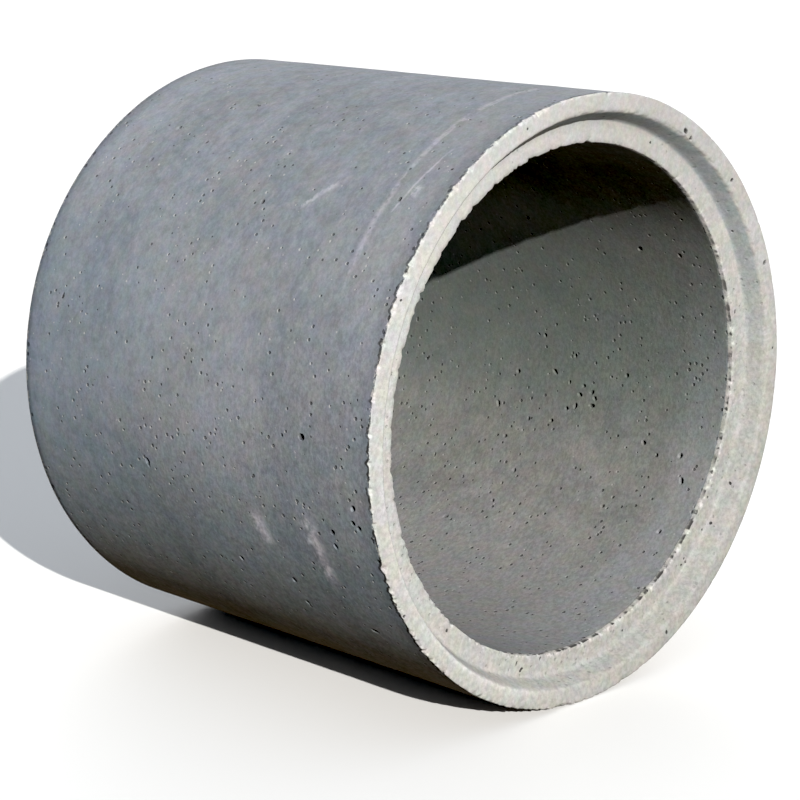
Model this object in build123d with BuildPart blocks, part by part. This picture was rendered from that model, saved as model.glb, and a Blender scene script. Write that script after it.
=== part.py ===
from build123d import *
from math import radians, tan
import os

# Round concrete sewer pipe with a rebated joint, lying on its side
# It is one cast piece. The socket is at +X, and the tongue that fits the next
# pipe's socket is at -X. The origin is in the middle of the underside, so the
# pipe's axis runs along X at the height of the outside radius.

# Barrel
bore_radius = 500.0
wall_thickness = 100.0
laying_length = 1000.0

# Socket: a recess in the end that narrows towards its seat
joint_depth = 42.0
socket_lip = 38.0
joint_angle = 22.5

# Fit of the tongue in the next pipe's socket
joint_clearance = 6.0
seat_gap = 4.0

# Rounded edges and corners that the mould leaves
lip_round = 8.0
seat_corner_round = 4.0
rim_round = 2.5
bore_edge_round = 2.5
tongue_edge_round = 5.0
tongue_root_round = 3.0

# Radii, from the pipe's axis
outer_radius = bore_radius + wall_thickness
mouth_radius = outer_radius - socket_lip
joint_slope = tan(radians(joint_angle))
seat_radius = mouth_radius - joint_slope * joint_depth
root_radius = mouth_radius - joint_clearance
tongue_length = joint_depth - seat_gap
tongue_radius = root_radius - joint_slope * tongue_length

# Places along X
overall_length = laying_length + tongue_length
socket_face_x = overall_length / 2
seat_x = socket_face_x - joint_depth
shoulder_x = socket_face_x - laying_length
tongue_end_x = shoulder_x - tongue_length

pipe_axis = Axis((0, 0, outer_radius), (1, 0, 0))


def at(x, radius):
    """A point of the wall's section above the pipe's axis."""
    return (x, outer_radius + radius)


# Corners of the wall's section, from the bore at the seat round to the tongue
bore_at_seat = at(seat_x, bore_radius)
seat_corner = at(seat_x, seat_radius)
mouth = at(socket_face_x, mouth_radius)
rim = at(socket_face_x, outer_radius)
shoulder_rim = at(shoulder_x, outer_radius)
tongue_root = at(shoulder_x, root_radius)
tongue_tip = at(tongue_end_x, tongue_radius)
bore_at_tongue = at(tongue_end_x, bore_radius)

rounds = (
    (bore_at_seat, bore_edge_round),
    (seat_corner, seat_corner_round),
    (mouth, lip_round),
    (rim, rim_round),
    (shoulder_rim, rim_round),
    (tongue_root, tongue_root_round),
    (tongue_tip, tongue_edge_round),
    (bore_at_tongue, bore_edge_round),
)

with BuildPart() as pipe:
    with BuildSketch(Plane.XZ) as section:
        with BuildLine():
            Polyline(
                bore_at_seat,
                seat_corner,
                mouth,
                rim,
                shoulder_rim,
                tongue_root,
                tongue_tip,
                bore_at_tongue,
                close=True,
            )
        make_face()
        for corner, radius in rounds:
            fillet(section.vertices().sort_by_distance(corner)[0], radius)
    revolve(axis=pipe_axis)

pipe.part.label = "pipe"

os.makedirs("parts", exist_ok=True)
export_step(pipe.part, "parts/pipe.step")
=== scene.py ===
from collections import namedtuple
from math import acos, atan2, ceil, pi, radians, sin, tan

import bpy
import numpy as np
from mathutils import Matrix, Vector


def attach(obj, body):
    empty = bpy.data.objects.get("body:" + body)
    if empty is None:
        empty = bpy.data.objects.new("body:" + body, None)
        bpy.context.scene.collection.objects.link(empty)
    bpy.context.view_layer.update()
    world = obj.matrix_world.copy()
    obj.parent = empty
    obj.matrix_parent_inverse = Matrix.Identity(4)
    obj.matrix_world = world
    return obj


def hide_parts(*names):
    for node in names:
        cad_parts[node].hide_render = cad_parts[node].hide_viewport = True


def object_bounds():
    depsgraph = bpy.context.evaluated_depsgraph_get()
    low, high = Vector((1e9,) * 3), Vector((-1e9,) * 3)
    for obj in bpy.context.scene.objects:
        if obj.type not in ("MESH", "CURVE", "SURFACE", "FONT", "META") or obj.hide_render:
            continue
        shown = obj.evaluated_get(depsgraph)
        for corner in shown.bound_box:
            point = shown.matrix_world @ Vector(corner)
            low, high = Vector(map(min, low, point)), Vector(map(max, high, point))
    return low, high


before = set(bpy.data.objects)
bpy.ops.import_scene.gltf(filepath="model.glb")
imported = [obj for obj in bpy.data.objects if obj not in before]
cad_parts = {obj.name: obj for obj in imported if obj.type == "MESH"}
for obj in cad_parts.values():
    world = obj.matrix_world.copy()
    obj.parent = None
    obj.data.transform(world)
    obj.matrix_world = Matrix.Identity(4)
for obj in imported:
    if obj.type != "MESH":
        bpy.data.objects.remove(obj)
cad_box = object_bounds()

# A concrete sewer pipe of 1 m bore, lying on its side. X runs along the pipe towards
# the socket, Z is up, and the pipe's axis lies at the height of its outside radius.
# Everything is in metres.

# Driving sizes of the section. The outside ones come from the frame, to a tenth of a millimetre.
OUTER_RADIUS = round(cad_box[1].z / 2, 4)
FACE_X = round(cad_box[1].x, 4)
WALL_THICKNESS = 0.100
LAYING_LENGTH = 1.000
SOCKET_LIP = 0.038
JOINT_DEPTH = 0.042
JOINT_SLOPE = tan(radians(22.5))
JOINT_CLEARANCE = 0.006
SEAT_GAP = 0.004

# Radii and places along X that follow from them
BORE_RADIUS = OUTER_RADIUS - WALL_THICKNESS
MOUTH_RADIUS = OUTER_RADIUS - SOCKET_LIP
SEAT_RADIUS = MOUTH_RADIUS - JOINT_SLOPE * JOINT_DEPTH
ROOT_RADIUS = MOUTH_RADIUS - JOINT_CLEARANCE
TONGUE_LENGTH = JOINT_DEPTH - SEAT_GAP
TONGUE_RADIUS = ROOT_RADIUS - JOINT_SLOPE * TONGUE_LENGTH
SEAT_X = FACE_X - JOINT_DEPTH
SHOULDER_X = FACE_X - LAYING_LENGTH
TONGUE_X = SHOULDER_X - TONGUE_LENGTH

# The pipe's skin is a lattice of rows round the section and columns round the pipe.
# FINEST is how often a cell of the coarse lattice can be halved.
FINEST = 5
COARSE_COLUMNS = 128
COLUMNS = COARSE_COLUMNS * 2**FINEST

# Once round the section: a corner with its rounding, the rows round it, and the name
# of and rows along the straight run that follows it
SECTION = (
    ("bore_edge", (SEAT_X, BORE_RADIUS), 0.0025, 8, "seat", 40),
    ("seat_corner", (SEAT_X, SEAT_RADIUS), 0.004, 8, "groove", 40),
    ("lip", (FACE_X, MOUTH_RADIUS), 0.008, 16, "rim", 32),
    ("rim_edge", (FACE_X, OUTER_RADIUS), 0.0025, 8, "barrel", 1096),
    ("shoulder_edge", (SHOULDER_X, OUTER_RADIUS), 0.0025, 8, "shoulder", 40),
    ("tongue_root", (SHOULDER_X, ROOT_RADIUS), 0.003, 8, "tongue", 40),
    ("tongue_edge", (TONGUE_X, TONGUE_RADIUS), 0.005, 8, "tongue_end", 40),
    ("back_edge", (TONGUE_X, BORE_RADIUS), 0.0025, 8, "bore", 1096),
)
ROWS = sum(corner[3] + corner[5] for corner in SECTION)


def unit(vector):
    """The vector at length 1."""
    return vector / np.linalg.norm(vector)


def rounded_corner(before, corner, after, rounding, rows):
    """A corner's arc: its start and end, and each row's place and outward direction."""
    back, ahead = unit(before - corner), unit(after - corner)
    half = acos(float(back @ ahead)) / 2
    centre = corner + unit(back + ahead) * rounding / sin(half)
    start = corner + back * rounding / tan(half)
    end = corner + ahead * rounding / tan(half)
    first = atan2(*(start - centre)[::-1])
    turn = (atan2(*(end - centre)[::-1]) - first + pi) % (2 * pi) - pi
    angles = first + turn * np.arange(rows) / rows
    ray = np.stack([np.cos(angles), np.sin(angles)], 1)
    return start, end, centre + rounding * ray, ray * np.sign(turn)


def section_rows():
    """Place and outward direction of each row in the section, and each stretch's rows by name."""
    corners = np.array([corner[1] for corner in SECTION])
    count = len(corners)
    arcs = []
    for k, (_, _, rounding, rows, _, _) in enumerate(SECTION):
        arcs.append(rounded_corner(corners[k - 1], corners[k], corners[(k + 1) % count], rounding, rows))
    places, normals, spans, row = [], [], {}, 0
    for k, (name, _, _, rows, run, run_rows) in enumerate(SECTION):
        _, end, arc_places, arc_normals = arcs[k]
        reach = arcs[(k + 1) % count][0] - end
        along = unit(reach)
        places += [arc_places, end + reach * np.arange(run_rows)[:, None] / run_rows]
        normals += [arc_normals, np.tile([along[1], -along[0]], (run_rows, 1))]
        spans[name] = (row, row + rows)
        spans[run] = (row + rows, row + rows + run_rows)
        row += rows + run_rows
    return np.concatenate(places), np.concatenate(normals), spans


SECTION_PLACE, SECTION_NORMAL, SPANS = section_rows()


def on_skin(row, angle):
    """Points and outward directions of the undamaged skin, for rows and angles from the top towards +Y."""
    low = np.floor(row).astype(int) % ROWS
    part = (row - np.floor(row))[:, None]
    place = SECTION_PLACE[low] * (1 - part) + SECTION_PLACE[(low + 1) % ROWS] * part
    normal = SECTION_NORMAL[low] * (1 - part) + SECTION_NORMAL[(low + 1) % ROWS] * part
    side, up = np.sin(angle), np.cos(angle)
    points = np.stack([place[:, 0], place[:, 1] * side, OUTER_RADIUS + place[:, 1] * up], 1)
    outward = np.stack([normal[:, 0], normal[:, 1] * side, normal[:, 1] * up], 1)
    return points, outward


# Random fields
class Field:
    """A smooth random field in space, between -1 and 1, the same on every run."""

    SIZE = 64
    OFFSET = 11.3

    def __init__(self, seed):
        self.values = np.random.default_rng(seed).uniform(-1, 1, (self.SIZE,) * 3)

    def __call__(self, points, wavelength):
        spot = points / wavelength + self.OFFSET
        low = np.floor(spot).astype(int)
        part = spot - low
        part = part * part * (3 - 2 * part)
        total = np.zeros(len(points))
        for corner in np.ndindex(2, 2, 2):
            weight = np.prod(np.where(corner, part, 1 - part), axis=1)
            i, j, k = ((low + corner) % self.SIZE).T
            total += weight * self.values[i, j, k]
        return total


# Each is called with points and the wavelength that it has there
broad, rough, ragged, notches = Field(3), Field(4), Field(5), Field(6)

# The pits that stand out, on each surface: place, angle from the top in degrees, radius,
# and length over width. The place is along X, or on the joint's faces it is the radius
# from the pipe's axis.
PLACED_PITS = {
    "barrel": (
        (0.344, -88.7, 0.0062, 1.3),
        (0.469, -99.3, 0.0052, 1.2),
        (0.463, -102.2, 0.0050, 1.2),
        (0.476, -102.9, 0.0044, 1.2),
        (0.402, -105.2, 0.0052, 1.2),
        (0.401, -108.0, 0.0048, 1.2),
        (0.236, -119.7, 0.0045, 1.3),
        (0.096, -118.1, 0.0048, 1.2),
        (0.237, -125.5, 0.0044, 1.2),
        (0.410, -43.8, 0.0040, 1.2),
        (-0.293, -34.1, 0.0040, 1.0),
        (-0.296, -42.9, 0.0040, 1.0),
        (0.080, -48.5, 0.0040, 1.2),
        (-0.111, -101.4, 0.0045, 2.2),
    ),
    "bore": (
        (0.073, 108.2, 0.0050, 1.5),
        (0.118, 107.2, 0.0041, 1.8),
        (0.087, 102.8, 0.0040, 1.2),
        (0.080, 105.1, 0.0039, 1.6),
        (0.112, 104.0, 0.0039, 1.5),
        (0.123, 105.3, 0.0039, 1.5),
        (0.050, 109.2, 0.0039, 1.2),
        (0.045, 102.5, 0.0036, 1.3),
        (0.053, 95.6, 0.0038, 1.1),
        (-0.001, 100.6, 0.0038, 2.2),
        (-0.108, 102.5, 0.0040, 1.3),
        (-0.147, 111.7, 0.0040, 1.8),
        (-0.048, 113.9, 0.0040, 1.2),
        (0.017, 113.1, 0.0040, 1.2),
        (-0.033, 127.9, 0.0044, 1.1),
        (-0.046, 137.4, 0.0046, 1.1),
        (-0.137, 145.5, 0.0040, 1.6),
        (-0.039, 91.9, 0.0038, 1.3),
        (0.202, 98.1, 0.0042, 1.1),
        (0.241, 131.4, 0.0038, 1.2),
        (0.282, 113.4, 0.0042, 1.4),
        (0.385, 114.6, 0.0044, 1.3),
        (0.408, 120.5, 0.0044, 1.9),
        (0.410, 134.4, 0.0042, 1.2),
        (0.267, 63.8, 0.0042, 1.4),
        (0.373, 64.1, 0.0040, 1.3),
    ),
    "seat": (
        (0.541, 138.0, 0.0028, 1.0),
        (0.536, 139.4, 0.0028, 1.0),
        (0.532, 137.8, 0.0026, 1.0),
        (0.540, 129.6, 0.0026, 1.0),
        (0.513, 122.7, 0.0028, 1.0),
    ),
    "rim": (
        (0.573, 28.2, 0.0048, 1.4),
        (0.567, 30.5, 0.0038, 1.4),
        (0.579, 47.1, 0.0036, 1.2),
    ),
}
# Their depth as a share of their radius
PLACED_DEPTH = 1.6

# How many more pits each surface has, at random places. Smaller ones are in the material.
RANDOM_PITS = {
    "bore": 34,
    "barrel": 34,
    "seat": 8,
    "groove": 5,
    "rim": 6,
    "tongue_end": 5,
    "tongue": 3,
    "shoulder": 4,
}
SMALLEST_RADIUS = 0.0024
RADIUS_RANGE = 0.0022

Pit = namedtuple("Pit", "row angle radius stretch lean depth")


def row_at(surface, place):
    """The row of a surface at that place, which is along X or from the axis, as in PLACED_PITS."""
    first, last = SPANS[surface]
    if surface == "barrel":
        start, end = SECTION_PLACE[first, 0], SHOULDER_X
    elif surface == "bore":
        start, end = SECTION_PLACE[first, 0], SEAT_X
    else:
        start, end = SECTION_PLACE[first, 1], SECTION_PLACE[last, 1]
    return first + (place - start) / (end - start) * (last - first)


def make_pits():
    """Every pit, those listed first."""
    dice = np.random.default_rng(41)
    pits = []
    for surface, placed in PLACED_PITS.items():
        for place, degrees, radius, stretch in placed:
            lean = dice.uniform(0, pi)
            row = row_at(surface, place)
            pits.append(Pit(row, radians(degrees), radius, stretch, lean, PLACED_DEPTH * radius))
    for surface, count in RANDOM_PITS.items():
        first, last = SPANS[surface]
        for _ in range(count):
            radius = SMALLEST_RADIUS + RADIUS_RANGE * dice.random() ** 2
            stretch = 1 + 1.2 * dice.random() ** 3
            row = first + (last - first) * dice.uniform(0.04, 0.96)
            angle, lean = dice.uniform(-pi, pi), dice.uniform(0, pi)
            pits.append(Pit(row, angle, radius, stretch, lean, radius * dice.uniform(0.9, 1.8)))
    return pits


def row_length(row):
    """How long the skin is from one row to the next, there."""
    low = int(row) % ROWS
    return float(np.linalg.norm(SECTION_PLACE[(low + 1) % ROWS] - SECTION_PLACE[low]))


# The lattice
# A level is how often a coarse cell is halved. Pits between these two radii make do with
# level 4, because level 5 for all of them would bring the pipe over 200,000 triangles.
PIT_LEVEL = 5
MIDDLING_PIT_LEVEL = 4
MIDDLING_PITS = (0.0038, 0.0046)
# The mesh round a pit is fine out to this many times its half length
FINE_ROUND_PIT = 1.15


def wanted_levels(pits):
    """How often each cell of the finest lattice asks its coarse cell to be halved."""
    need = np.zeros((ROWS, COLUMNS), np.int8)

    def band(first, last, level, start=-180, stop=180):
        """Asks for a level in a band of rows, between two angles from the top in degrees."""
        rows = np.arange(first, last) % ROWS
        columns = np.arange(ceil(start / 360 * COLUMNS), ceil(stop / 360 * COLUMNS)) % COLUMNS
        part = np.ix_(rows, columns)
        need[part] = np.maximum(need[part], level)

    # the roundings, then the edges that wear, finest where the camera sees their teeth
    for name, *_ in SECTION:
        band(*SPANS[name], 2)
    band(SPANS["bore"][1] - 8, SPANS["barrel"][0] + 8, 2)
    band(SPANS["bore"][1] - 4, SPANS["seat"][0] + 4, 3)
    band(SPANS["bore"][1] - 4, SPANS["seat"][0] + 6, 4, -100, 75)
    band(SPANS["lip"][0] - 4, SPANS["lip"][1] + 4, 3)
    band(SPANS["rim_edge"][0] - 4, SPANS["rim_edge"][1] + 4, 3)
    band(SPANS["rim_edge"][0] - 6, SPANS["rim_edge"][1] + 11, 4, -135, 30)
    for pit in pits:
        reach = FINE_ROUND_PIT * pit.radius * pit.stretch
        place = SECTION_PLACE[int(pit.row) % ROWS]
        rows = ceil(reach / row_length(pit.row))
        columns = ceil(reach / (place[1] * 2 * pi / COLUMNS))
        column = int(pit.angle / (2 * pi) * COLUMNS)
        near_rows = np.arange(int(pit.row) - rows, int(pit.row) + rows + 1) % ROWS
        near_columns = np.arange(column - columns, column + columns + 1) % COLUMNS
        middling = MIDDLING_PITS[0] <= pit.radius < MIDDLING_PITS[1]
        part = np.ix_(near_rows, near_columns)
        need[part] = np.maximum(need[part], MIDDLING_PIT_LEVEL if middling else PIT_LEVEL)
    return need


def blocks(values, size):
    """The highest value in each block of that many rows and columns."""
    rows, columns = values.shape
    return values.reshape(rows // size, size, columns // size, size).max(axis=(1, 3))


def with_neighbours(cells):
    """The cells and all that touch them, round the lattice's ends too."""
    for axis in (0, 1):
        cells = cells | np.roll(cells, 1, axis) | np.roll(cells, -1, axis)
    return cells


def halve_cells(need):
    """Which cells are halved at each level, so that neighbours differ by one level at most."""
    split = [None] * FINEST
    for level in range(FINEST - 1, -1, -1):
        split[level] = blocks(need, 2 ** (FINEST - level)) > level
        if level + 1 < FINEST:
            split[level] |= blocks(with_neighbours(split[level + 1]), 2)
    return split


def whole_cells(split):
    """First row, first column and size of every cell that isn't halved any further."""
    cells = []
    exists = np.ones((ROWS >> FINEST, COARSE_COLUMNS), bool)
    for level in range(FINEST + 1):
        size = 2 ** (FINEST - level)
        whole = exists & ~split[level] if level < FINEST else exists
        cells.append(np.concatenate([np.argwhere(whole) * size, np.full((whole.sum(), 1), size)], 1))
        if level < FINEST:
            exists = (exists & split[level]).repeat(2, 0).repeat(2, 1)
    return np.concatenate(cells).T


def lattice_faces(split):
    """Row and column of every corner that is used, the four-sided faces and the triangles."""
    j, i, size = whole_cells(split)
    half = size // 2
    corners = [(j, i), (j, i + size), (j + size, i + size), (j + size, i)]
    middles = [(j, i + half), (j + half, i + size), (j + size, i + half), (j + half, i)]
    used = np.zeros((ROWS, COLUMNS), bool)
    for row, column in corners:
        used[row % ROWS, column % COLUMNS] = True
    number = (np.cumsum(used.ravel()) - 1).reshape(used.shape)

    def at(grid, spot):
        """The grid's values at rows and columns that may lie past its ends."""
        return grid[spot[0] % ROWS, spot[1] % COLUMNS]

    corner = np.stack([at(number, spot) for spot in corners], 1)
    middle = np.stack([at(number, spot) for spot in middles], 1)
    hanging = np.stack([at(used, spot) & (half > 0) for spot in middles], 1)
    quads = corner[~hanging.any(1)]
    triangles = []
    for pattern in range(1, 16):
        bits = [(pattern >> k) & 1 == 1 for k in range(4)]
        cells = (hanging == bits).all(1)
        if not cells.any():
            continue
        ring = []
        for k in range(4):
            ring.append(corner[cells, k])
            if bits[k]:
                ring.append(middle[cells, k])
        # the fan starts at a middle, so that no triangle is flat
        start = bits.index(True) + 1
        ring = ring[start:] + ring[:start]
        for k in range(1, len(ring) - 1):
            triangles.append(np.stack([ring[0], ring[k], ring[k + 1]], 1))
    return np.argwhere(used), quads, np.concatenate(triangles)


# Wear and damage
# How deep the broad swells of the skin are on the socket's faces and on the rest, and
# half the depth of the finer ones
SOCKET_SWELL = 0.0005
SKIN_SWELL = 0.0012
FINE_SWELL = 0.0003
# The lip's wear fades away over this many rows
LIP_ROWS = 14

# A pit's skin is looked for within this many times its half length, and skin is left alone
# where the cosine between its direction and the pit's is below the second value
PIT_REACH = 1.6
SAME_FACE = 0.8
# The share of a pit left as its lit wall, on the barrel and in the bore, how soft the painted
# shadow's edge is, and where it ends, as shares of the pit's radius
LIT_WALL_ON_BARREL = 0.09
LIT_WALL_IN_BORE = 0.20
PIT_SHADOW_EDGE = 0.22
PIT_SHADOW_END = 1.05

# A worn edge is usually cut off this far from its corner, and a point that a cut moves
# this far is wholly chipped
USUAL_CUT = 0.0034
FULL_CHIP = 0.0015
# The painted shadow behind a worn edge has its middle this far past a cut, and ends this far from it
EDGE_SHADOW_OFFSET = 0.0022
EDGE_SHADOW_WIDTH = 0.0048
# Points this little outside a corner still belong to it
SLACK = 0.001


def near_lip(row):
    """1 in the middle of the socket's lip, and less away from it."""
    from_lip = (row - sum(SPANS["lip"]) / 2) / LIP_ROWS
    return np.exp(-(from_lip**2))


def skin_depth(points, row, angle):
    """How deep the uneven skin and the worn lip lie below the ideal skin."""
    swell = np.where(row >= SPANS["barrel"][0], SKIN_SWELL, SOCKET_SWELL)
    # the line that the pipe lies on is left where it is
    swell = swell * np.clip(10 + 10 * np.cos(angle), 0, 1)
    depth = swell * (0.5 + 0.5 * broad(points, 0.22)) + FINE_SWELL * (1 + rough(points, 0.05))
    # the lip is more worn on the far side
    worn_side = np.interp(np.sin(angle), (-0.7, 0.2), (0.35, 1.4))
    lip_wear = 0.0012 + 0.0010 * rough(points, 0.016) + 0.0009 * ragged(points, 0.007)
    return depth + near_lip(row) * worn_side * lip_wear


def sink_pit(pit, points, outward, depth, pit_shadow):
    """Deepens the skin round one pit, and marks the painted shadow in it."""
    centres, normals = on_skin(np.array([pit.row]), np.array([pit.angle]))
    centre, normal = centres[0], normals[0]
    away = points - centre
    near = np.abs(away).max(axis=1) < PIT_REACH * pit.radius * pit.stretch
    round_pipe = np.array([0.0, np.cos(pit.angle), -np.sin(pit.angle)])
    across = np.cross(normal, round_pipe)
    u, v = away[near] @ across, away[near] @ round_pipe

    def gap_from(shift_u, shift_v):
        """Distance from the pit's middle, moved by that much, as a share of its radius."""
        long = (u - shift_u) * np.cos(pit.lean) + (v - shift_v) * np.sin(pit.lean)
        wide = (v - shift_v) * np.cos(pit.lean) - (u - shift_u) * np.sin(pit.lean)
        return np.hypot(long / (pit.radius * pit.stretch), wide / pit.radius)

    gap = gap_from(0.0, 0.0) * (1 + 0.25 * ragged(points[near], 1.4 * pit.radius))
    bowl = np.clip(1 - gap**3, 0, 1) ** 0.5
    same_face = outward[near] @ normal > SAME_FACE
    depth[near] += pit.depth * bowl * same_face
    # painted shadow fills the pit but for the lit wall away from the socket and the top, more so in the
    # bore
    clean = LIT_WALL_ON_BARREL if pit.row < SPANS["bore"][0] else LIT_WALL_IN_BORE
    shadow_gap = gap_from(clean * pit.radius * across[0], 0.5 * clean * pit.radius * round_pipe[2])
    shadowed = np.clip((1 + PIT_SHADOW_EDGE - clean - shadow_gap) / PIT_SHADOW_EDGE, 0, 1) * (gap < PIT_SHADOW_END) * same_face
    pit_shadow[near] = np.maximum(pit_shadow[near], shadowed * (1 - clean))


def cut_corner(along, radius, corner, inward, reach):
    """Cuts a corner of the section off: new places, how far they moved, a mask just past the cut."""
    a = (along - corner[0]) * inward[0]
    b = (radius - corner[1]) * inward[1]
    near = (a > -SLACK) & (b > -SLACK) & (a + b < reach)
    shift = np.where(near, (reach - a - b) / 2, 0)
    past = np.clip(1 - np.abs(a + b - reach - EDGE_SHADOW_OFFSET) / EDGE_SHADOW_WIDTH, 0, 1)
    past = past * (a > b) * (b > -SLACK)
    return along + shift * inward[0], radius + shift * inward[1], shift, past


def break_edges(points, angle):
    """The points with the edges worn and chipped, how much chip each has, and the painted shadow behind
    the socket's edges.
    """
    along = points[:, 0]
    height = points[:, 2] - OUTER_RADIUS
    radius = np.hypot(points[:, 1], height)
    side, up = points[:, 1] / radius, height / radius

    around = np.stack([0.002 * along, OUTER_RADIUS * side, OUTER_RADIUS * up], 1)
    teeth = 0.5 * notches(around, 0.0045) + 0.9 * notches(around, 0.0095)
    worn = USUAL_CUT + 0.0072 * np.clip(teeth, -0.4, 1) + 0.0013 * rough(points, 0.012)
    bites = np.clip(rough(around, 0.017) - 0.35, 0, 1) * 0.0070
    bites += np.clip(broad(around, 0.012) - 0.55, 0, 1) * 0.0120

    # the rim's outer edge is ragged on the near side and almost whole on the other
    ragged_side = np.interp(np.sin(angle), (-0.1, 0.35), (1.2, 0.35))
    # each corner, which way its wall lies, and how much of the wear it has
    edges = (
        ((FACE_X, OUTER_RADIUS), (-1, -1), ragged_side),
        ((SEAT_X, BORE_RADIUS), (-1, 1), 1.1),
        ((SHOULDER_X, OUTER_RADIUS), (1, -1), 0.35),
        ((TONGUE_X, BORE_RADIUS), (1, 1), 1.0),
        ((TONGUE_X, TONGUE_RADIUS), (1, -1), 1.6),
    )
    chips, edge_shadows = np.zeros(len(points)), np.zeros(len(points))
    for corner, inward, share in edges:
        along, radius, shift, past = cut_corner(along, radius, corner, inward, share * (worn + bites))
        chips = np.maximum(chips, np.clip(shift / FULL_CHIP, 0, 1))
        at_socket = corner[0] > 0
        if at_socket:
            edge_shadows = np.maximum(edge_shadows, past)
    return np.stack([along, radius * side, OUTER_RADIUS + radius * up], 1), chips, edge_shadows


def beyond_joint(rows):
    """How far rows lie past the joint's faces along the skin, below 0 on them, within two limits."""
    lengths = np.linalg.norm(np.roll(SECTION_PLACE, -1, 0) - SECTION_PLACE, axis=1)
    so_far = np.concatenate([[0], np.cumsum(lengths)])
    here = so_far[rows]
    on_barrel = np.minimum(here - so_far[SPANS["rim_edge"][1]], so_far[SPANS["shoulder_edge"][0]] - here)
    in_bore = np.minimum(here - so_far[SPANS["back_edge"][1]], so_far[-1] - here)
    return np.clip(np.maximum(on_barrel, in_bore), -0.02, 0.06)


def shape_pipe():
    """Points, faces and per-point masks of the whole pipe."""
    pits = make_pits()
    spots, quads, triangles = lattice_faces(halve_cells(wanted_levels(pits)))
    row = spots[:, 0].astype(float)
    angle = spots[:, 1] * (2 * pi / COLUMNS)
    points, outward = on_skin(row, angle)
    depth = skin_depth(points, row, angle)
    pit_shadow = np.zeros(len(points))
    for pit in pits:
        sink_pit(pit, points, outward, depth, pit_shadow)
    points, chips, edge_shadows = break_edges(points - outward * depth[:, None], angle)
    masks = {
        "past_joint": beyond_joint(spots[:, 0]),
        "inside": row >= SPANS["bore"][0],
        # each pit's painted shadow
        "pit": pit_shadow,
        "chip": chips,
        "edge_shadow": edge_shadows,
        "lip": near_lip(row),
        "groove": (row >= SPANS["groove"][0]) & (row < SPANS["lip"][0]),
    }
    return points, quads, triangles, masks


def make_mesh(name, points, quads, triangles, masks):
    """An object with that mesh, smoothly shaded, with the masks as attributes."""
    mesh = bpy.data.meshes.new(name)
    loops = np.concatenate([quads.ravel(), triangles.ravel()]).astype(np.int32)
    sizes = np.concatenate([np.full(len(quads), 4), np.full(len(triangles), 3)]).astype(np.int32)
    mesh.vertices.add(len(points))
    mesh.vertices.foreach_set("co", points.astype(np.float32).ravel())
    mesh.loops.add(len(loops))
    mesh.loops.foreach_set("vertex_index", loops)
    mesh.polygons.add(len(sizes))
    mesh.polygons.foreach_set("loop_start", (np.cumsum(sizes) - sizes).astype(np.int32))
    mesh.update(calc_edges=True)
    mesh.validate()
    mesh.shade_smooth()
    for mask, values in masks.items():
        attribute = mesh.attributes.new(mask, "FLOAT", "POINT")
        attribute.data.foreach_set("value", values.astype(np.float32))
    thing = bpy.data.objects.new(name, mesh)
    bpy.context.scene.collection.objects.link(thing)
    return thing


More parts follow.
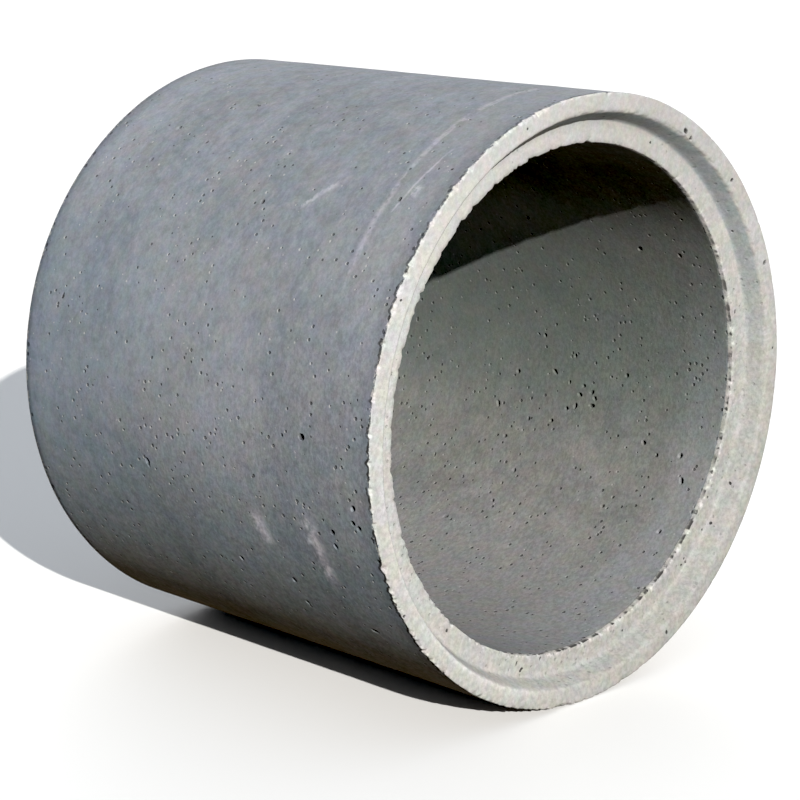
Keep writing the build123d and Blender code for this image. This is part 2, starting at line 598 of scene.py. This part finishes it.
# Materials
class Tree:
    """Short words for building a material's nodes. Values are numbers, colours or node outputs."""

    def __init__(self, name):
        self.material = bpy.data.materials.new(name)
        self.material.use_nodes = True
        self.nodes = self.material.node_tree.nodes
        self.nodes.clear()
        self.shader = self.add("BsdfPrincipled")
        output = self.add("OutputMaterial")
        self.join(self.shader.outputs["BSDF"], output.inputs["Surface"])

    def add(self, kind, **settings):
        node = self.nodes.new("ShaderNode" + kind)
        for key, value in settings.items():
            setattr(node, key, value)
        return node

    def join(self, source, socket):
        if isinstance(source, bpy.types.NodeSocket):
            self.material.node_tree.links.new(source, socket)
        else:
            socket.default_value = source

    def position(self):
        return self.add("NewGeometry").outputs["Position"]

    def mask(self, name):
        return self.add("Attribute", attribute_name=name).outputs["Fac"]

    def math(self, kind, *values):
        node = self.add("Math", operation=kind)
        for socket, value in zip(node.inputs, values):
            self.join(value, socket)
        return node.outputs[0]

    def plus(self, first, second):
        return self.math("ADD", first, second)

    def minus(self, first, second):
        return self.math("SUBTRACT", first, second)

    def times(self, first, *others):
        for other in others:
            first = self.math("MULTIPLY", first, other)
        return first

    def most(self, first, *others):
        for other in others:
            first = self.math("MAXIMUM", first, other)
        return first

    def wavered(self, place, noise, reach):
        """The place, moved to and fro with the noise, half of reach each way at most."""
        return self.plus(place, self.times(self.minus(noise, 0.5), reach))

    def vector(self, kind, first, second):
        node = self.add("VectorMath", operation=kind)
        self.join(first, node.inputs[0])
        self.join(second, node.inputs[1])
        return node.outputs[0]

    def noise(self, vector, scale, detail=3, roughness=0.55, distortion=0.0):
        node = self.add("TexNoise")
        self.join(vector, node.inputs["Vector"])
        node.inputs["Scale"].default_value = scale
        node.inputs["Detail"].default_value = detail
        node.inputs["Roughness"].default_value = roughness
        node.inputs["Distortion"].default_value = distortion
        return node.outputs["Fac"]

    def ramp(self, value, low, high, out_low=0.0, out_high=1.0):
        """Goes smoothly from out_low to out_high as the value goes from low to high."""
        node = self.add("MapRange", interpolation_type="SMOOTHSTEP")
        self.join(value, node.inputs["Value"])
        node.inputs["From Min"].default_value = low
        node.inputs["From Max"].default_value = high
        node.inputs["To Min"].default_value = out_low
        node.inputs["To Max"].default_value = out_high
        return node.outputs["Result"]

    def mix(self, share, first, second, blend="MIX"):
        """The first colour, with that share of the second."""
        node = self.add("Mix", data_type="RGBA", blend_type=blend)
        self.join(share, node.inputs[0])
        for source, socket in ((first, node.inputs[6]), (second, node.inputs[7])):
            if isinstance(source, tuple):
                socket.default_value = (*source, 1)
            else:
                self.join(source, socket)
        return node.outputs[2]

    def tinted(self, colour, factor):
        """The colour, multiplied by a factor or by a colour."""
        return self.mix(1.0, colour, factor, "MULTIPLY")

    def stain(self, share, colour, factor):
        """The colour, with that share of it multiplied by the factor."""
        return self.mix(share, colour, self.tinted(colour, factor))

    def shade(self, colour, value, low, high, darkest, lightest):
        """The colour, multiplied by a number that goes from darkest to lightest as the value rises."""
        return self.tinted(colour, self.ramp(value, low, high, darkest, lightest))

    def cells(self, vector, scale):
        """The distance to the nearest of many scattered points, and that point's random numbers."""
        points = self.add("TexVoronoi")
        self.join(vector, points.inputs["Vector"])
        points.inputs["Scale"].default_value = scale
        chances = self.add("SeparateColor")
        self.join(points.outputs["Color"], chances.inputs[0])
        return points.outputs["Distance"], chances.outputs

    def spots(self, distance, chance, share, smallest, largest, crowd):
        """How much of a spot is here, from the numbers that HOLES and FLECKS have, and the crowding."""
        size = self.ramp(self.plus(chance, crowd), 1 - share, 1.0, 0.001, largest)
        size = self.most(self.minus(size, smallest), 0.001)
        return self.ramp(self.math("DIVIDE", distance, size), 1.05, 0.55)

    def streak(self, x, height, place, lean, half_width, low, high, strength):
        """A soft line round the barrel at that place along the pipe, between two heights."""
        line = self.math("MULTIPLY_ADD", self.minus(height, (low + high) / 2), lean, place)
        off = self.math("ABSOLUTE", self.minus(x, line))
        on_line = self.ramp(off, half_width, 0.0, 0.0, strength)
        fade = 0.25 * (high - low)
        ends = self.times(self.ramp(height, low, low + fade), self.ramp(height, high, high - fade))
        return self.times(on_line, ends)


class Skin:
    """The places, masks and noise that the concrete's colours and relief share."""

    def __init__(self, tree):
        self.where = tree.position()
        parts = tree.add("SeparateXYZ")
        tree.join(self.where, parts.inputs[0])
        self.x, self.y, self.z = parts.outputs
        self.past_joint = tree.mask("past_joint")
        self.inside = tree.mask("inside")

        # noise, from the broadest to the finest
        round_pipe = tree.vector("MULTIPLY", self.where, (1.2, 0.92, 0.92))
        narrow_rings = tree.vector("MULTIPLY", self.where, (14.0, 1.1, 1.1))
        self.clouds = tree.noise(self.where, 2.6, detail=3, roughness=0.6)
        self.crowding = tree.noise(self.where, 7.0, detail=1)
        self.patches = tree.noise(self.where, 11.0, detail=4, roughness=0.65, distortion=0.4)
        self.bands = tree.noise(narrow_rings, 1.0, detail=3, roughness=0.6)
        self.warmth = tree.noise(self.where, 24.0, detail=2, roughness=0.7)
        self.tint = tree.noise(self.where, 31.0, detail=2, roughness=0.7)
        self.blotches = tree.noise(round_pipe, 38.0, detail=3, roughness=0.65)
        self.speckle = tree.noise(round_pipe, 100.0, detail=2, roughness=0.7)
        self.grain = tree.noise(self.where, 190.0, detail=1, roughness=0.6)
        self.dust = tree.noise(self.where, 520.0, detail=1, roughness=0.6)

        self.wavy_x = tree.wavered(self.x, self.patches, 0.013)
        # the skin is calmer high up and away from the socket
        calm = tree.minus(self.z, tree.times(self.x, 0.6))
        self.uneven = tree.ramp(calm, 0.35, 0.85, 1.0, 0.5)


# Pale lines round the barrel: place along X, lean, half width, the heights between which
# they run, and strength. The first ones are straight and the second ones smeared.
MOULD_LINES = (
    (0.383, 0.00, 0.0110, 0.84, 1.32, 0.42),
    (0.388, 0.05, 0.0050, 0.94, 1.32, 0.42),
    (0.423, 0.27, 0.0045, 0.99, 1.13, 0.60),
)
SMEARS = (
    (0.436, 0.00, 0.0110, 1.03, 1.06, 0.65),
    (0.200, -0.25, 0.0260, 0.37, 0.45, 1.00),
    (0.350, -0.15, 0.0270, 0.31, 0.48, 1.00),
    (0.221, 1.20, 0.0130, 0.99, 1.06, 0.60),
)


def barrel_marks(tree, skin):
    """How much of a pale mark is here. They are on the near side, close to the socket."""
    lines = tree.most(*(tree.streak(skin.wavy_x, skin.z, *line) for line in MOULD_LINES))
    lines = tree.times(lines, tree.ramp(skin.blotches, 0.34, 0.545))
    crooked_x = tree.wavered(tree.wavered(skin.x, skin.blotches, 0.044), skin.speckle, 0.017)
    smears = tree.most(*(tree.streak(crooked_x, skin.z, *smear) for smear in SMEARS))
    smears = tree.times(smears, tree.ramp(skin.tint, 0.37, 0.55, 0.30, 1.0))
    smears = tree.times(smears, tree.ramp(skin.blotches, 0.34, 0.52, 0.55, 1.0))
    near_side = tree.ramp(skin.y, 0.02, -0.02)
    return tree.times(tree.most(lines, smears), near_side)


def barrel_colour(tree, skin):
    """Weathered blue-grey skin, darker low down with painted shade, darker at the far end, with pale
    marks.
    """
    x, y, z = skin.x, skin.y, skin.z
    dark_blue, light_blue = (0.188, 0.208, 0.236), (0.250, 0.271, 0.306)
    plain_grey, pale_blue = (0.232, 0.237, 0.243), (0.290, 0.302, 0.330)
    paler_end, pale_mark = (0.262, 0.270, 0.286), (0.45, 0.445, 0.505)

    tone = tree.plus(tree.times(skin.clouds, 0.6), tree.times(skin.bands, 0.4))
    colour = tree.mix(tree.ramp(tone, 0.35, 0.65), dark_blue, light_blue)
    colour = tree.mix(tree.ramp(skin.patches, 0.39, 0.72, 0.0, 0.5), colour, plain_grey)
    colour = tree.mix(tree.ramp(skin.blotches, 0.48, 0.75, 0.0, 0.50), colour, pale_blue)
    colour = tree.shade(colour, skin.blotches, 0.32, 0.52, 0.88, 1.0)
    by_socket = tree.ramp(skin.wavy_x, 0.365, 0.385, 0.0, 0.40)
    by_socket = tree.times(by_socket, tree.ramp(z, 0.80, 1.05, 0.2, 1.0))
    colour = tree.mix(by_socket, colour, paler_end)
    far_end = tree.times(tree.ramp(x, 0.05, -0.35), tree.ramp(z, 1.05, 0.80), tree.ramp(z, 0.30, 0.50))
    colour = tree.stain(far_end, colour, (0.86, 0.92, 0.96))
    # painted shade: darker low down, where the barrel turns away from the light
    low_side = tree.ramp(tree.plus(z, tree.times(skin.patches, 0.16)), 0.74, 0.36)
    colour = tree.stain(low_side, colour, (0.76, 0.82, 0.81))
    underside = tree.ramp(z, 0.34, 0.04)
    colour = tree.stain(underside, colour, (1.12, 0.90, 0.70))
    beside_rim = tree.times(tree.ramp(skin.past_joint, 0.050, 0.010), tree.ramp(y, 0.05, -0.25))
    colour = tree.stain(beside_rim, colour, (0.84, 0.84, 0.86))
    return tree.mix(barrel_marks(tree, skin), colour, pale_mark)


def bore_colour(tree, skin):
    """Darker and greener upwards, with painted shade along its top and just inside its edge, paler on its
    floor, with a band of finer skin at the socket.
    """
    y, z = skin.y, skin.z
    green_grey, warm_grey = (0.160, 0.168, 0.158), (0.212, 0.212, 0.205)
    violet_grey, dark_green = (0.186, 0.186, 0.194), (0.142, 0.157, 0.148)
    pale_floor, fine_skin = (0.235, 0.235, 0.240), (0.232, 0.240, 0.250)

    colour = tree.mix(tree.ramp(skin.clouds, 0.34, 0.66), green_grey, warm_grey)
    colour = tree.mix(tree.ramp(skin.patches, 0.34, 0.74, 0.0, 0.5), colour, violet_grey)
    colour = tree.shade(colour, skin.patches, 0.35, 0.65, 1.09, 0.91)
    colour = tree.shade(colour, skin.blotches, 0.32, 0.68, 0.93, 1.07)
    colour = tree.mix(tree.ramp(z, 0.22, 0.60, 0.0, 0.60), colour, dark_green)
    colour = tree.mix(tree.ramp(z, 0.27, 0.10, 0.0, 0.80), colour, pale_floor)
    band_x = tree.plus(skin.wavy_x, tree.ramp(z, 0.24, 0.11, 0.0, 0.07))
    band_x = tree.wavered(band_x, skin.blotches, 0.044)
    band = tree.times(tree.ramp(band_x, 0.335, 0.405, 0.0, 0.70), tree.ramp(z, 0.85, 0.50, 0.10, 1.0))
    colour = tree.mix(band, colour, fine_skin)
    far_side, top = tree.ramp(y, 0.44, 0.50), tree.ramp(z, 0.86, 0.98)
    colour = tree.stain(far_side, colour, (0.84, 0.89, 0.88))
    # painted shade: the bore's top, which lies in shadow, darker still
    colour = tree.stain(top, colour, (0.72, 0.70, 0.69))
    # painted shade: a dark band just inside the bore's edge
    return tree.shade(colour, skin.past_joint, 0.002, 0.009, 0.72, 1.0)


def joint_colour(tree, skin):
    """Clean pale concrete on the joint's faces, palest on the near side, with painted shade high in the
    groove and painted light along the lip on the near side.
    """
    y, z = skin.y, skin.z
    dull, clean, pinkish = (0.332, 0.335, 0.328), (0.376, 0.377, 0.369), (0.355, 0.342, 0.338)
    pale, lip_light_colour = (0.484, 0.488, 0.488), (0.48, 0.485, 0.475)

    colour = tree.mix(tree.ramp(skin.patches, 0.34, 0.69), dull, clean)
    colour = tree.mix(tree.ramp(skin.blotches, 0.44, 0.78, 0.0, 0.35), colour, pinkish)
    colour = tree.mix(tree.ramp(y, 0.35, -0.55, 0.0, 0.66), colour, pale)
    low_down = tree.ramp(z, 0.95, 0.10)
    colour = tree.stain(low_down, colour, (0.84, 0.838, 0.815))
    # painted shade, bluish, on the groove's upper half, which lies in shadow
    groove_painted_shade = tree.times(tree.mask("groove"), tree.ramp(z, 0.50, 0.95))
    colour = tree.stain(groove_painted_shade, colour, (0.80, 0.87, 0.92))
    # painted light on the lip's rounding, on the near side, lightening its shade
    lip_painted_light = tree.times(tree.mask("lip"), tree.ramp(y, 0.0, -0.35))
    return tree.mix(lip_painted_light, colour, lip_light_colour)


def worn_shares(tree, skin):
    """How much of the joint's concrete shows here, and how much freshly broken stone."""
    outside_reach, inside_reach = (0.030,) * 3, (0.012,) * 3
    crumbs = tree.minus(tree.noise(skin.where, 190.0, detail=2, roughness=0.7), 0.46)
    crumbs = tree.times(crumbs, tree.mix(skin.inside, outside_reach, inside_reach))
    edge = tree.minus(skin.past_joint, crumbs)
    # low down, the bore's edge shows hardly any chips
    whole = tree.times(skin.inside, tree.ramp(skin.z, 0.75, 0.50, 0.0, 0.85))
    chip = tree.times(tree.mask("chip"), tree.minus(1.0, whole))
    pale = tree.most(tree.ramp(edge, 0.0006, -0.0004), tree.ramp(chip, 0.35, 0.60))
    return pale, tree.times(chip, tree.ramp(skin.speckle, 0.42, 0.63, 0.0, 0.8))


# Small pits and flecks lie in cells, so many to a metre. For each kind: the share of cells
# that have one, what is taken off each radius so that the smallest vanish, and the largest
# radius before that, both in cells.
CELLS_A_METRE = 62.0
HOLES = (0.80, 0.03, 0.27)
FLECKS = (0.30, 0.04, 0.20)


def small_spots(tree, skin):
    """Shares of small pits, of the painted highlight on the lit wall of each, and of pale flecks."""
    ripple = tree.add("CombineXYZ")
    for source, socket in zip((skin.grain, skin.speckle, skin.blotches), ripple.inputs):
        tree.join(source, socket)
    ripple = tree.vector("MULTIPLY", ripple.outputs[0], (0.0028, 0.0028, 0.0035))
    rippled = tree.vector("ADD", skin.where, ripple)
    lit_wall_place = tree.vector("ADD", rippled, (0.0024, -0.0010, 0.0014))

    crowd = tree.ramp(skin.crowding, 0.31, 0.69, -0.20, 0.25)
    crowd = tree.plus(crowd, tree.ramp(skin.z, 0.60, 1.00, 0.02, -0.11))
    on_joint = tree.ramp(skin.past_joint, 0.002, -0.002, 1.0, 0.35)
    # more and larger small pits, each with its painted shade, just behind the rim
    behind_rim = tree.times(
        tree.ramp(skin.past_joint, 0.018, 0.008), tree.ramp(skin.past_joint, 0.001, 0.003)
    )

    distance, chances = tree.cells(rippled, CELLS_A_METRE)
    flecks = tree.spots(distance, chances[1], *FLECKS, crowd)
    distance = tree.times(distance, tree.ramp(behind_rim, 0.0, 1.0, 1.0, 0.7))
    rim_crowd = tree.plus(crowd, tree.times(behind_rim, 0.45))
    holes = tree.times(tree.spots(distance, chances[0], *HOLES, rim_crowd), on_joint)

    # the same spots moved against the key lamp's direction, for a painted highlight on each small pit's
    # lit wall
    distance, chances = tree.cells(lit_wall_place, CELLS_A_METRE)
    pit_highlight = tree.spots(distance, chances[0], *HOLES, crowd)
    pit_highlight = tree.times(pit_highlight, tree.minus(1.0, holes), on_joint)
    pit_highlight = tree.times(pit_highlight, tree.ramp(skin.inside, 0.0, 1.0, 0.62, 0.34))
    flecks = tree.times(flecks, tree.ramp(skin.inside, 0.0, 1.0, 0.42, 0.22))
    return holes, pit_highlight, flecks


def with_grain(tree, skin, colour):
    """The colour with its fine grain, and a little warmer and cooler in places."""
    colour = tree.mix(skin.uneven, colour, tree.shade(colour, skin.speckle, 0.27, 0.73, 0.86, 1.14))
    colour = tree.shade(colour, skin.grain, 0.28, 0.72, 1.04, 0.96)
    colour = tree.shade(colour, skin.dust, 0.32, 0.68, 0.97, 1.03)
    violet, green = (1.030, 0.982, 1.026), (0.970, 1.016, 0.974)
    colour = tree.tinted(colour, tree.mix(tree.ramp(skin.tint, 0.32, 0.68), violet, green))
    warm, cool = (1.028, 1.000, 0.966), (0.974, 1.000, 1.032)
    return tree.tinted(colour, tree.mix(tree.ramp(skin.warmth, 0.32, 0.68), warm, cool))


def edge_shadow_share(tree, skin):
    """How dark the painted shadow behind the worn edges' teeth is, a broken line. It is closed low down,
    faint in the bore.
    """
    gaps = tree.plus(skin.blotches, tree.ramp(skin.z, 0.20, 0.48, -0.11, 0.0))
    return tree.times(
        tree.ramp(tree.mask("edge_shadow"), 0.10, 0.50),
        tree.ramp(gaps, 0.61, 0.44, 0.05, 0.95),
        tree.ramp(skin.z, 1.10, 0.50, 0.60, 1.00),
        tree.ramp(skin.inside, 0.0, 1.0, 1.0, 0.3),
    )


# How deep the relief is, over the whole range of each noise and in a small pit, in units of
# the bump's distance
BUMP_DISTANCE = 0.001
RELIEF = {"grain": 0.33, "speckle": 0.47, "blotches": 0.44}
HOLE_DEPTH = 2.6


def add_relief(tree, skin, holes):
    """Bumps the shader's surface."""
    height = tree.plus(
        tree.times(skin.grain, RELIEF["grain"]), tree.times(skin.speckle, RELIEF["speckle"])
    )
    height = tree.plus(height, tree.times(skin.blotches, RELIEF["blotches"]))
    height = tree.minus(height, tree.times(holes, HOLE_DEPTH))
    bump = tree.add("Bump")
    tree.join(skin.uneven, bump.inputs["Strength"])
    bump.inputs["Distance"].default_value = BUMP_DISTANCE
    tree.join(height, bump.inputs["Height"])
    tree.join(bump.outputs["Normal"], tree.shader.inputs["Normal"])


def concrete_material():
    """Cast concrete: weathered skin, paler joint faces, pits, and mottling at several scales, with painted
    shade and painted highlights in the pits, on the edges and low down.
    """
    fleck, broken_stone, highlight_grey = (0.46, 0.47, 0.49), (0.50, 0.50, 0.485), (0.47, 0.47, 0.47)
    edge_shadow_colour, hole_shade_colour, pit_shadow_colour = (0.035,) * 3, (0.030,) * 3, (0.022,) * 3
    tree = Tree("concrete")
    skin = Skin(tree)
    pale, broken = worn_shares(tree, skin)
    holes, pit_highlight, flecks = small_spots(tree, skin)

    colour = tree.mix(skin.inside, barrel_colour(tree, skin), bore_colour(tree, skin))
    colour = tree.mix(flecks, colour, fleck)
    colour = tree.mix(pale, colour, joint_colour(tree, skin))
    colour = tree.mix(broken, colour, broken_stone)
    colour = with_grain(tree, skin, colour)
    # painted highlight on the lit wall of each small pit
    colour = tree.mix(pit_highlight, colour, highlight_grey)
    # painted shadow behind the worn edges
    colour = tree.mix(edge_shadow_share(tree, skin), colour, edge_shadow_colour)
    # painted shade in each small pit
    colour = tree.mix(tree.times(holes, 0.64), colour, hole_shade_colour)
    # painted shadow in the larger pits, from the mesh's pit mask
    colour = tree.mix(tree.mask("pit"), colour, pit_shadow_colour)
    tree.join(colour, tree.shader.inputs["Base Color"])

    matt = tree.ramp(tree.plus(skin.grain, skin.patches), 0.7, 1.3, 0.80, 0.97)
    tree.join(matt, tree.shader.inputs["Roughness"])
    tree.shader.inputs["Specular IOR Level"].default_value = 0.2
    add_relief(tree, skin, holes)
    return tree.material


def floor_material():
    """Pale, matt and even. It throws back little light, so that the pipe's underside stays dark."""
    thrown_back, seen = (0.17, 0.142, 0.115), (0.93, 0.93, 0.93)
    tree = Tree("floor")
    path = tree.add("LightPath")
    shade = tree.mix(path.outputs["Is Camera Ray"], thrown_back, seen)
    tree.join(shade, tree.shader.inputs["Base Color"])
    tree.shader.inputs["Roughness"].default_value = 0.9
    return tree.material


# Stage, light and camera
def make_floor():
    """A wide flat floor that the pipe lies on."""
    half = 60.0
    mesh = bpy.data.meshes.new("floor")
    corners = [(-half, -half, 0), (half, -half, 0), (half, half, 0), (-half, half, 0)]
    mesh.from_pydata(corners, [], [(0, 1, 2, 3)])
    mesh.materials.append(floor_material())
    floor = bpy.data.objects.new("floor", mesh)
    bpy.context.scene.collection.objects.link(floor)


# Each lamp: strength, how many degrees wide it is, colour, and the direction it shines from.
# The key is low and on the socket's side, and the soft one is weak and behind the pipe.
LAMPS = {
    "key": (5.6, 0.6, (1.0, 0.97, 0.92), (0.801, -0.437, 0.409)),
    "soft": (1.7, 50, (1.0, 0.98, 0.96), (-0.70, 0.68, 0.22)),
}


def make_lamps():
    """The lamps, as suns."""
    for name, (strength, width, colour, source) in LAMPS.items():
        light = bpy.data.lights.new(name, "SUN")
        light.energy = strength
        light.angle = radians(width)
        light.color = colour
        lamp = bpy.data.objects.new(name, light)
        lamp.rotation_euler = Vector(source).to_track_quat("Z", "Y").to_euler()
        bpy.context.scene.collection.objects.link(lamp)


def make_fill():
    """Even pale blue light from all round, stronger from above, before a plain white backdrop."""
    level_light, top_light, backdrop = (0.15, 0.16, 0.17, 1), (0.44, 0.48, 0.53, 1), (1.0, 1.0, 1.0, 1)
    world = bpy.data.worlds.new("fill")
    world.use_nodes = True
    nodes, links = world.node_tree.nodes, world.node_tree.links
    background = nodes["Background"]
    background.inputs["Strength"].default_value = 1.0
    place = nodes.new("ShaderNodeTexCoord")
    parts = nodes.new("ShaderNodeSeparateXYZ")
    links.new(place.outputs["Generated"], parts.inputs[0])
    sky = nodes.new("ShaderNodeMix")
    sky.data_type = "RGBA"
    sky.inputs[6].default_value = level_light
    sky.inputs[7].default_value = top_light
    links.new(parts.outputs["Z"], sky.inputs[0])
    seen = nodes.new("ShaderNodeMix")
    seen.data_type = "RGBA"
    seen.inputs[7].default_value = backdrop
    links.new(sky.outputs[2], seen.inputs[6])
    links.new(nodes.new("ShaderNodeLightPath").outputs["Is Camera Ray"], seen.inputs[0])
    links.new(seen.outputs[2], background.inputs["Color"])
    bpy.context.scene.world = world


def make_camera():
    """The photograph's viewpoint."""
    data = bpy.data.cameras.new("camera")
    data.sensor_width = 36.0
    data.lens = 106.157
    data.clip_end = 300.0
    camera = bpy.data.objects.new("camera", data)
    camera.location = (3.36595, -3.39031, 1.65180)
    forward = Vector((-0.68578903, 0.69063907, -0.22958895))
    camera.rotation_euler = forward.to_track_quat("-Z", "Y").to_euler()
    bpy.context.scene.collection.objects.link(camera)
    bpy.context.scene.camera = camera


def set_tones():
    """Plain colours, with the deepest shadows near black as in the photograph."""
    tones = bpy.context.scene.view_settings
    tones.view_transform = "Standard"
    tones.use_curve_mapping = True
    tones.curve_mapping.black_level = (0.02, 0.02, 0.02)
    tones.curve_mapping.update()


pipe = make_mesh("concrete_pipe", *shape_pipe())
pipe.data.materials.append(concrete_material())
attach(pipe, "root")
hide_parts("pipe")

make_floor()
make_lamps()
make_fill()
make_camera()
set_tones()

triangle_count = sum(len(face.vertices) - 2 for face in pipe.data.polygons)
print("triangles in the pipe:", triangle_count)
